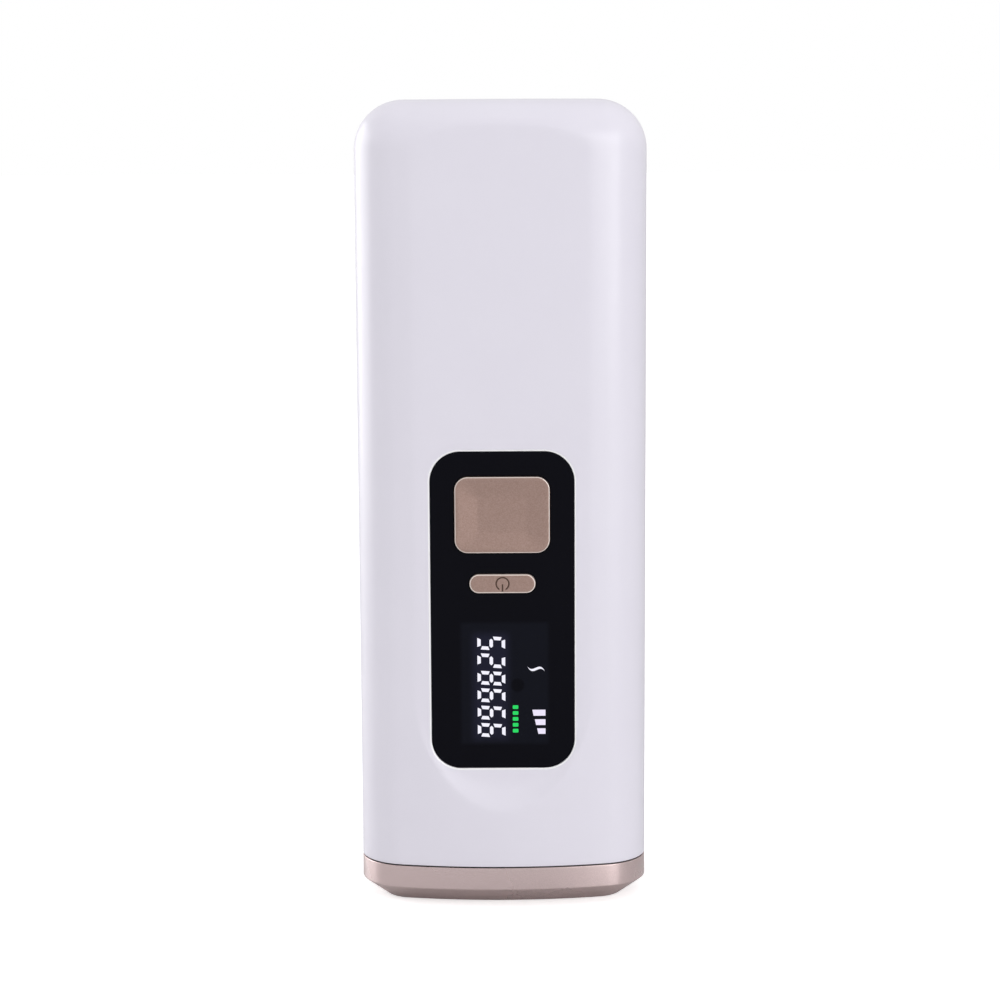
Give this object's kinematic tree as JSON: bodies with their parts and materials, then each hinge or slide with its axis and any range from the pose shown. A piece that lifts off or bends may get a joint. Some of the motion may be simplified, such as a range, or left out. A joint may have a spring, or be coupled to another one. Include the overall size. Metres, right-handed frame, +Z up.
{
  "type": "ipl hair remover",
  "caption": "Straight handheld light-pulse hair remover with a treatment window in its lower end, a front panel with display and buttons, and air grilles behind.",
  "frame": {"origin": "centre of the base plane, at the rim of the treatment face", "axes": "+Z up the handle from the treatment face to the power inlet, control panel faces -Y, air grilles face +Y, +X to the right seen from the panel side"},
  "size_m": [0.064, 0.042, 0.178],
  "materials": {
    "white_housing": "satin",
    "rose_gold": "satin metallic coating",
    "black_panel": "gloss",
    "black_rubber": "matte",
    "dark_plastic": "matte",
    "white_plastic": "matte",
    "clear_glass": "polished",
    "filter_glass": "polished",
    "display_glass": "polished",
    "steel": "satin",
    "brass": "satin",
    "ceramic": "matte",
    "mirror_metal": "polished",
    "aluminium": "satin",
    "board": "satin",
    "ferrite": "matte",
    "copper": "enamelled"
  },
  "bodies": {
    "handle": {"air_duct": "dark_plastic", "blower_case": "dark_plastic", "blower_cover": "dark_plastic", "blower_screws": "steel", "blower_spindle": "steel", "blower_stator": "steel", "board_components": "dark_plastic", "board_header": "dark_plastic", "contact_strips": "steel", "control_panel": "black_panel", "dc_jack": "dark_plastic", "dc_jack_pin": "steel", "dc_jack_terminals": "brass", "display_cell": "display_glass", "display_frame": "white_plastic", "filter_glass": "filter_glass", "flash_capacitor": "aluminium", "flash_switch": "dark_plastic", "flash_tube": "clear_glass", "front_board": "board", "front_board_screws": "steel", "front_shell": "white_housing", "head_collar": "rose_gold", "head_screws": "steel", "heat_sink": "aluminium", "housing_screws": "steel", "lamp_electrodes": "steel", "lamp_end_caps": "ceramic", "lamp_housing": "ceramic", "main_board": "board", "main_board_screws": "steel", "panel_tape": "black_rubber", "power_switch": "dark_plastic", "rear_shell": "white_housing", "reflector": "mirror_metal", "seam_gasket": "black_rubber", "thermal_cutout": "dark_plastic", "transformer_core": "ferrite", "transformer_winding": "copper", "treatment_window": "clear_glass", "trigger_coil": "copper", "window_bezel": "dark_plastic", "window_gasket": "black_rubber"},
    "flash_key": {"flash_button": "rose_gold", "flash_plunger": "dark_plastic"},
    "power_key": {"power_button": "rose_gold", "power_plunger": "dark_plastic"},
    "blower_wheel": {"blower_rotor": "dark_plastic"}
  },
  "joints": [
    {"name": "flash_press", "type": "slide", "parent": "handle", "child": "flash_key", "axis": [0, 1, 0], "range_m": [0, 0.0005], "stiffness_N_per_m": 800, "springref_m": -0.0005},
    {"name": "power_press", "type": "slide", "parent": "handle", "child": "power_key", "axis": [0, 1, 0], "range_m": [0, 0.0005], "stiffness_N_per_m": 600, "springref_m": -0.0005},
    {"name": "fan_spin", "type": "hinge", "parent": "handle", "child": "blower_wheel", "pos_m": [0, 0.0112, 0.066], "axis": [0, 1, 0], "continuous": true}
  ]
}
